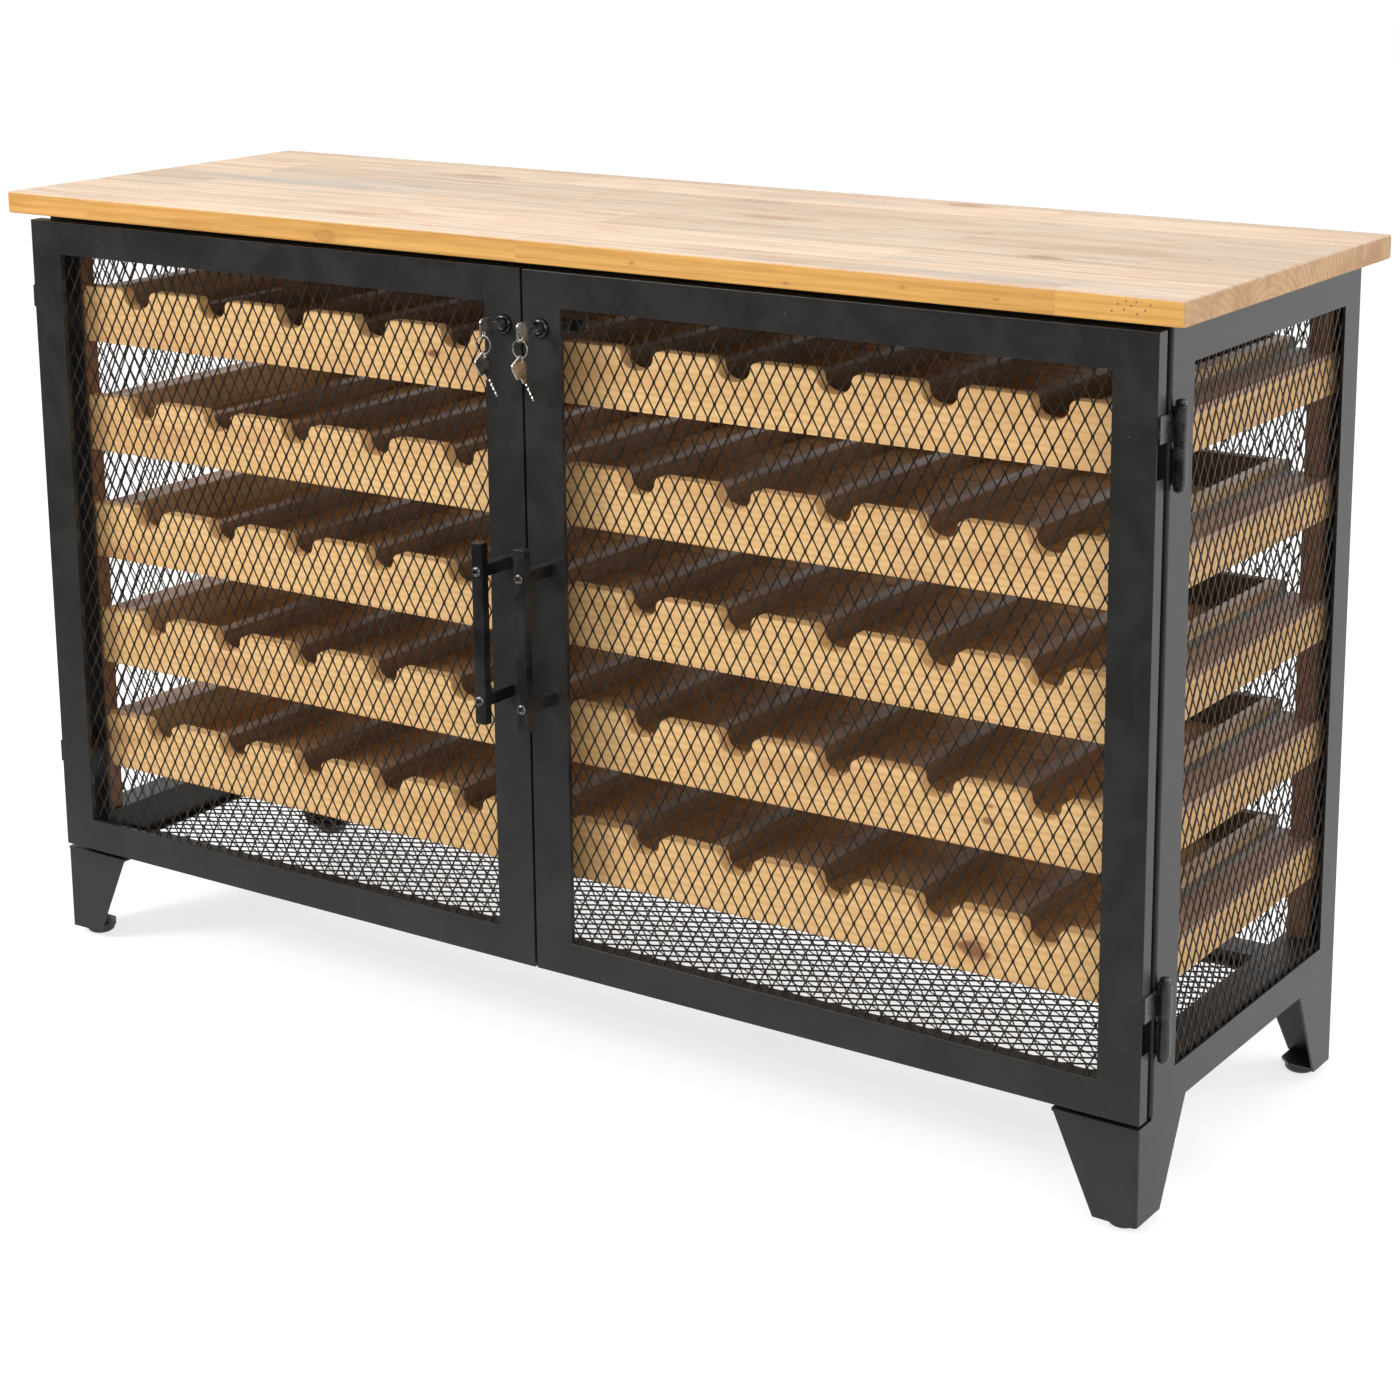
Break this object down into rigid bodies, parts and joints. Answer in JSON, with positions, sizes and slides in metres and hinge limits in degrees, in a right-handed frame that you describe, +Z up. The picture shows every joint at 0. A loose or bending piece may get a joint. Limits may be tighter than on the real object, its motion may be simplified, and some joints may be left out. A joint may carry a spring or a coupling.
{
  "type": "wine cabinet",
  "caption": "Wide low wine cabinet: dark steel carcass on tapered feet, expanded metal doors and sides, solid wood top, notched wooden bottle rack inside, cam locks with hanging keys.",
  "frame": {"origin": "on the floor, under the middle of the bounding box", "axes": "+X across the front to the viewer's right, -Y out of the front, +Z up"},
  "size_m": [1.5, 0.53, 0.915],
  "materials": {
    "carcass_steel": "charcoal satin, smudged",
    "mesh_steel": "dark brown-black satin",
    "handle_steel": "black satin",
    "nickel": "bright nickel",
    "glide_plastic": "black, satin",
    "slab_wood": "pale pine planks, satin",
    "board_pine": "yellow pine, satin",
    "deck_wood": "brown pine, satin",
    "post_wood": "dark brown wood, satin"
  },
  "bodies": {
    "cabinet": {"back_mesh": "mesh_steel", "back_top_rail": "carcass_steel", "base_frame": "carcass_steel", "floor_mesh": "mesh_steel", "front_top_rail": "carcass_steel", "left_back_glide": "glide_plastic", "left_back_post": "post_wood", "left_front_glide": "glide_plastic", "left_front_post": "post_wood", "left_lower_hinge_frame_half": "carcass_steel", "left_side_frame": "carcass_steel", "left_side_mesh": "mesh_steel", "left_upper_hinge_frame_half": "carcass_steel", "right_back_glide": "glide_plastic", "right_back_post": "post_wood", "right_front_glide": "glide_plastic", "right_front_post": "post_wood", "right_lower_hinge_frame_half": "carcass_steel", "right_side_frame": "carcass_steel", "right_side_mesh": "mesh_steel", "right_upper_hinge_frame_half": "carcass_steel", "row1_front_board": "board_pine", "row1_left_beam": "board_pine", "row1_right_beam": "board_pine", "row1_slatted_deck": "deck_wood", "row2_front_board": "board_pine", "row2_left_beam": "board_pine", "row2_right_beam": "board_pine", "row2_slatted_deck": "deck_wood", "row3_front_board": "board_pine", "row3_left_beam": "board_pine", "row3_right_beam": "board_pine", "row3_slatted_deck": "deck_wood", "row4_front_board": "board_pine", "row4_left_beam": "board_pine", "row4_right_beam": "board_pine", "row4_slatted_deck": "deck_wood", "row5_front_board": "board_pine", "row5_left_beam": "board_pine", "row5_right_beam": "board_pine", "row5_slatted_deck": "deck_wood", "top_slab": "slab_wood"},
    "left_door": {"left_door_frame": "carcass_steel", "left_door_mesh": "mesh_steel", "left_handle": "handle_steel", "left_lock_housing": "nickel", "left_lower_hinge_door_half": "carcass_steel", "left_upper_hinge_door_half": "carcass_steel"},
    "right_door": {"right_door_frame": "carcass_steel", "right_door_mesh": "mesh_steel", "right_handle": "handle_steel", "right_lock_housing": "nickel", "right_lower_hinge_door_half": "carcass_steel", "right_upper_hinge_door_half": "carcass_steel"},
    "left_lock_plug": {"left_lock_plug_and_key": "nickel"},
    "left_key_ring": {"left_key_ring": "nickel"},
    "left_spare_key": {"left_spare_key": "nickel"},
    "right_lock_plug": {"right_lock_plug_and_key": "nickel"},
    "right_key_ring": {"right_key_ring": "nickel"},
    "right_spare_key": {"right_spare_key": "nickel"}
  },
  "joints": [
    {"name": "left_door_swing", "type": "hinge", "parent": "cabinet", "child": "left_door", "pos_m": [-0.729, -0.178, 0.5], "axis": [0, 0, -1], "range_deg": [0, 165]},
    {"name": "left_lock_turn", "type": "hinge", "parent": "left_door", "child": "left_lock_plug", "pos_m": [-0.024, -0.212, 0.823], "axis": [0, 1, 0], "range_deg": [0, 90]},
    {"name": "left_key_ring_swing", "type": "hinge", "parent": "left_lock_plug", "child": "left_key_ring", "pos_m": [-0.024, -0.2462, 0.8157], "axis": [-1, 0, 0], "range_deg": [0, 60]},
    {"name": "left_spare_key_swing", "type": "hinge", "parent": "left_key_ring", "child": "left_spare_key", "pos_m": [-0.024, -0.2462, 0.7967], "axis": [-1, 0, 0], "range_deg": [0, 80]},
    {"name": "right_door_swing", "type": "hinge", "parent": "cabinet", "child": "right_door", "pos_m": [0.729, -0.178, 0.5], "axis": [0, 0, 1], "range_deg": [0, 165]},
    {"name": "right_lock_turn", "type": "hinge", "parent": "right_door", "child": "right_lock_plug", "pos_m": [0.024, -0.212, 0.823], "axis": [0, -1, 0], "range_deg": [0, 90]},
    {"name": "right_key_ring_swing", "type": "hinge", "parent": "right_lock_plug", "child": "right_key_ring", "pos_m": [0.024, -0.2462, 0.8157], "axis": [-1, 0, 0], "range_deg": [0, 60]},
    {"name": "right_spare_key_swing", "type": "hinge", "parent": "right_key_ring", "child": "right_spare_key", "pos_m": [0.024, -0.2462, 0.7967], "axis": [-1, 0, 0], "range_deg": [0, 80]}
  ]
}
